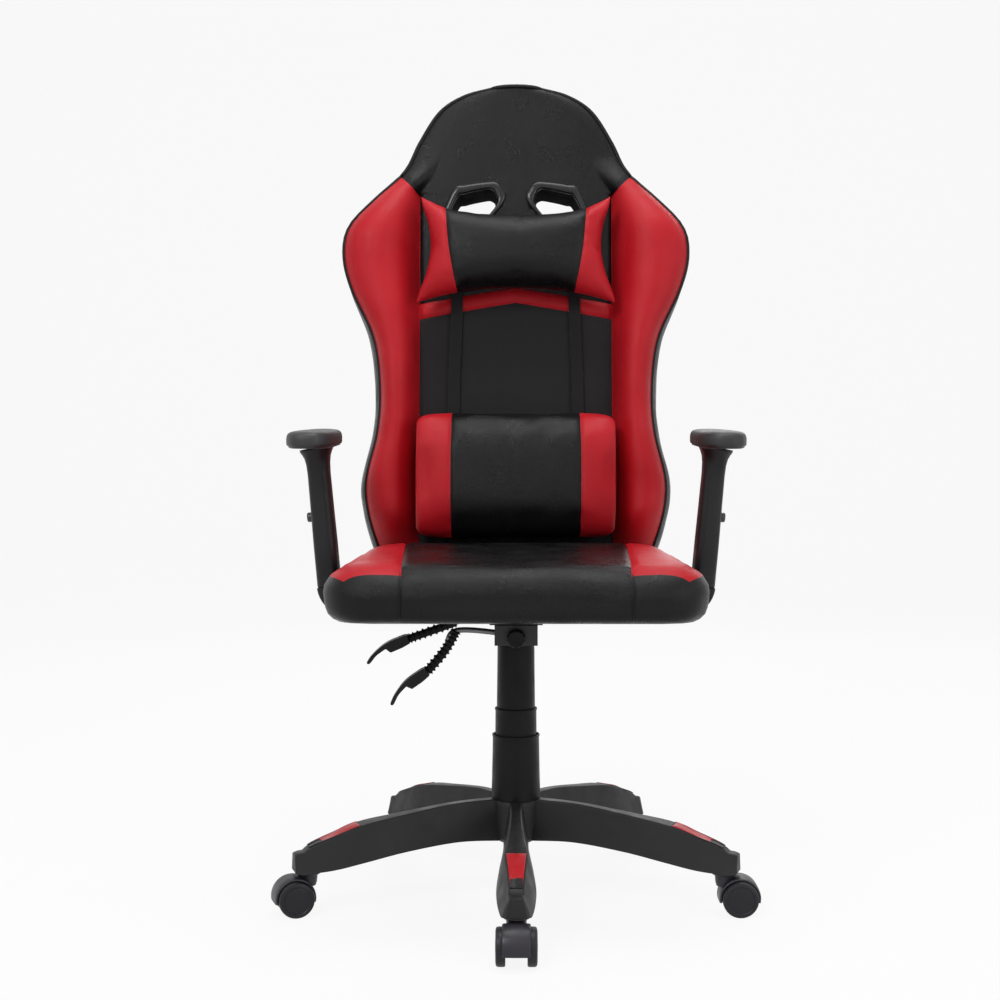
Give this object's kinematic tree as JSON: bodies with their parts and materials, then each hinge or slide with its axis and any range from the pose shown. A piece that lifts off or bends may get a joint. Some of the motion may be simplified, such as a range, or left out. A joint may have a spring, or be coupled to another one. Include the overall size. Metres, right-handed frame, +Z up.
{
  "type": "gaming chair",
  "caption": "Swivel gaming chair on a star base with casters, gas lift, height-adjustable armrests, reclining winged back, head pillow and lumbar pillow.",
  "frame": {"origin": "on the floor, under the axis of the column", "axes": "+Z up, the chair faces -Y, +X to the right as seen from the front"},
  "size_m": [0.6819, 0.7219, 1.1997],
  "materials": {
    "base_plastic": "satin",
    "insert_red": "satin",
    "caster_plastic": "satin",
    "wheel_plastic": "satin",
    "pin_steel": "satin",
    "tube_paint": "satin",
    "cylinder_chrome": "polished",
    "bush_plastic": "matte",
    "cover_plastic": "satin",
    "mech_paint": "satin",
    "bolt_steel": "satin",
    "knob_plastic": "matte",
    "sleeve_rubber": "matte",
    "paddle_plastic": "satin",
    "board_wood": "matte",
    "leatherette_black": "satin",
    "leatherette_red": "satin",
    "panel_fabric": "matte",
    "arm_plastic": "satin",
    "pad_plastic": "matte",
    "button_plastic": "matte",
    "frame_paint": "satin",
    "trim_plastic": "gloss",
    "strap_elastic": "matte"
  },
  "bodies": {
    "base": {"base_star": "base_plastic", "base_inserts": "insert_red", "gas_tube": "tube_paint", "guide_bush": "bush_plastic", "thrust_bearing": "pin_steel", "cover_lower": "cover_plastic"},
    "piston": {"piston_rod": "pin_steel"},
    "cover_mid": {"cover_middle": "cover_plastic"},
    "seat": {"gas_cylinder": "cylinder_chrome", "cover_upper": "cover_plastic", "mech_housing": "mech_paint", "seat_plate": "mech_paint", "seat_bolts": "bolt_steel", "tension_spring": "pin_steel", "seat_board": "board_wood", "seat_cushion": "leatherette_black", "arm_bracket_left": "arm_plastic", "arm_bracket_right": "arm_plastic", "back_pivot_pin": "pin_steel"},
    "knob": {"tension_knob": "knob_plastic"},
    "height_lever": {"height_lever_rod": "bolt_steel", "height_lever_sleeve": "sleeve_rubber", "height_lever_paddle": "paddle_plastic"},
    "recline_lever": {"recline_lever_rod": "bolt_steel", "recline_lever_sleeve": "sleeve_rubber", "recline_lever_paddle": "paddle_plastic"},
    "arm_left": {"arm_post_left": "arm_plastic", "arm_pad_left": "pad_plastic"},
    "arm_right": {"arm_post_right": "arm_plastic", "arm_pad_right": "pad_plastic"},
    "button_left": {"arm_button_left": "button_plastic"},
    "button_right": {"arm_button_right": "button_plastic"},
    "back": {"back_bar": "mech_paint", "back_bolts": "bolt_steel", "back_frame": "frame_paint", "back_cushion": "leatherette_black", "slot_trims": "trim_plastic", "head_pillow": "leatherette_red", "lumbar_pillow": "panel_fabric", "pillow_straps": "strap_elastic"},
    "caster_1": {"caster_hood_1": "caster_plastic", "caster_pins_1": "pin_steel"},
    "wheel_a_1": {"wheel_a_1": "wheel_plastic"},
    "wheel_b_1": {"wheel_b_1": "wheel_plastic"},
    "caster_2": {"caster_hood_2": "caster_plastic", "caster_pins_2": "pin_steel"},
    "wheel_a_2": {"wheel_a_2": "wheel_plastic"},
    "wheel_b_2": {"wheel_b_2": "wheel_plastic"},
    "caster_3": {"caster_hood_3": "caster_plastic", "caster_pins_3": "pin_steel"},
    "wheel_a_3": {"wheel_a_3": "wheel_plastic"},
    "wheel_b_3": {"wheel_b_3": "wheel_plastic"},
    "caster_4": {"caster_hood_4": "caster_plastic", "caster_pins_4": "pin_steel"},
    "wheel_a_4": {"wheel_a_4": "wheel_plastic"},
    "wheel_b_4": {"wheel_b_4": "wheel_plastic"},
    "caster_5": {"caster_hood_5": "caster_plastic", "caster_pins_5": "pin_steel"},
    "wheel_a_5": {"wheel_a_5": "wheel_plastic"},
    "wheel_b_5": {"wheel_b_5": "wheel_plastic"}
  },
  "joints": [
    {"name": "seat_swivel", "type": "hinge", "parent": "base", "child": "piston", "pos_m": [0, 0, 0.262], "axis": [0, 0, 1], "continuous": true},
    {"name": "seat_lift", "type": "slide", "parent": "piston", "child": "seat", "axis": [0, 0, 1], "range_m": [-0.1, 0]},
    {"name": "cover_slide", "type": "slide", "parent": "base", "child": "cover_mid", "axis": [0, 0, 1], "range_m": [-0.036, 0]},
    {"name": "back_recline", "type": "hinge", "parent": "seat", "child": "back", "pos_m": [0, 0.15, 0.388], "axis": [-1, 0, 0], "range_deg": [0, 20]},
    {"name": "tension_turn", "type": "hinge", "parent": "seat", "child": "knob", "pos_m": [0, -0.085, 0.385], "axis": [0, -1, 0], "continuous": true},
    {"name": "height_lever_tilt", "type": "hinge", "parent": "seat", "child": "height_lever", "pos_m": [-0.029, -0.008, 0.41], "axis": [0, 1, 0], "range_deg": [0, 5], "stiffness_Nm_per_rad": 2, "springref_deg": -5.73},
    {"name": "recline_lever_tilt", "type": "hinge", "parent": "seat", "child": "recline_lever", "pos_m": [-0.022, -0.062, 0.388], "axis": [0, 1, 0], "range_deg": [0, 5], "stiffness_Nm_per_rad": 2, "springref_deg": -5.73},
    {"name": "arm_left_lift", "type": "slide", "parent": "seat", "child": "arm_left", "axis": [-0.0872, 0, 0.9962], "range_m": [0, 0.07]},
    {"name": "arm_right_lift", "type": "slide", "parent": "seat", "child": "arm_right", "axis": [0.0872, 0, 0.9962], "range_m": [0, 0.07]},
    {"name": "button_left_press", "type": "slide", "parent": "arm_left", "child": "button_left", "axis": [0.9962, 0, 0.0872], "range_m": [0, 0.004], "stiffness_N_per_m": 400, "springref_m": -0.003},
    {"name": "button_right_press", "type": "slide", "parent": "arm_right", "child": "button_right", "axis": [-0.9962, 0, 0.0872], "range_m": [0, 0.004], "stiffness_N_per_m": 400, "springref_m": -0.003},
    {"name": "caster_1_swivel", "type": "hinge", "parent": "base", "child": "caster_1", "pos_m": [0, -0.305, 0.06], "axis": [0, 0, 1], "continuous": true},
    {"name": "wheel_a_1_spin", "type": "hinge", "parent": "caster_1", "child": "wheel_a_1", "pos_m": [0, -0.3255, 0.025], "axis": [1, 0, 0], "continuous": true},
    {"name": "wheel_b_1_spin", "type": "hinge", "parent": "caster_1", "child": "wheel_b_1", "pos_m": [0, -0.3255, 0.025], "axis": [1, 0, 0], "continuous": true},
    {"name": "caster_2_swivel", "type": "hinge", "parent": "base", "child": "caster_2", "pos_m": [0.29007, -0.09425, 0.06], "axis": [0, 0, 1], "continuous": true},
    {"name": "wheel_a_2_spin", "type": "hinge", "parent": "caster_2", "child": "wheel_a_2", "pos_m": [0.31057, -0.09425, 0.025], "axis": [0, 1, 0], "continuous": true},
    {"name": "wheel_b_2_spin", "type": "hinge", "parent": "caster_2", "child": "wheel_b_2", "pos_m": [0.31057, -0.09425, 0.025], "axis": [0, 1, 0], "continuous": true},
    {"name": "caster_3_swivel", "type": "hinge", "parent": "base", "child": "caster_3", "pos_m": [0.17927, 0.24675, 0.06], "axis": [0, 0, 1], "continuous": true},
    {"name": "wheel_a_3_spin", "type": "hinge", "parent": "caster_3", "child": "wheel_a_3", "pos_m": [0.19132, 0.26333, 0.025], "axis": [-0.809, 0.5878, 0], "continuous": true},
    {"name": "wheel_b_3_spin", "type": "hinge", "parent": "caster_3", "child": "wheel_b_3", "pos_m": [0.19132, 0.26333, 0.025], "axis": [-0.809, 0.5878, 0], "continuous": true},
    {"name": "caster_4_swivel", "type": "hinge", "parent": "base", "child": "caster_4", "pos_m": [-0.17927, 0.24675, 0.06], "axis": [0, 0, 1], "continuous": true},
    {"name": "wheel_a_4_spin", "type": "hinge", "parent": "caster_4", "child": "wheel_a_4", "pos_m": [-0.19132, 0.26333, 0.025], "axis": [-0.809, -0.5878, 0], "continuous": true},
    {"name": "wheel_b_4_spin", "type": "hinge", "parent": "caster_4", "child": "wheel_b_4", "pos_m": [-0.19132, 0.26333, 0.025], "axis": [-0.809, -0.5878, 0], "continuous": true},
    {"name": "caster_5_swivel", "type": "hinge", "parent": "base", "child": "caster_5", "pos_m": [-0.29007, -0.09425, 0.06], "axis": [0, 0, 1], "continuous": true},
    {"name": "wheel_a_5_spin", "type": "hinge", "parent": "caster_5", "child": "wheel_a_5", "pos_m": [-0.30945, -0.10092, 0.025], "axis": [0.3256, -0.9455, 0], "continuous": true},
    {"name": "wheel_b_5_spin", "type": "hinge", "parent": "caster_5", "child": "wheel_b_5", "pos_m": [-0.30945, -0.10092, 0.025], "axis": [0.3256, -0.9455, 0], "continuous": true}
  ],
  "couplings": [
    {"joint": "cover_slide", "follows": "seat_lift", "ratio": 0.35}
  ]
}
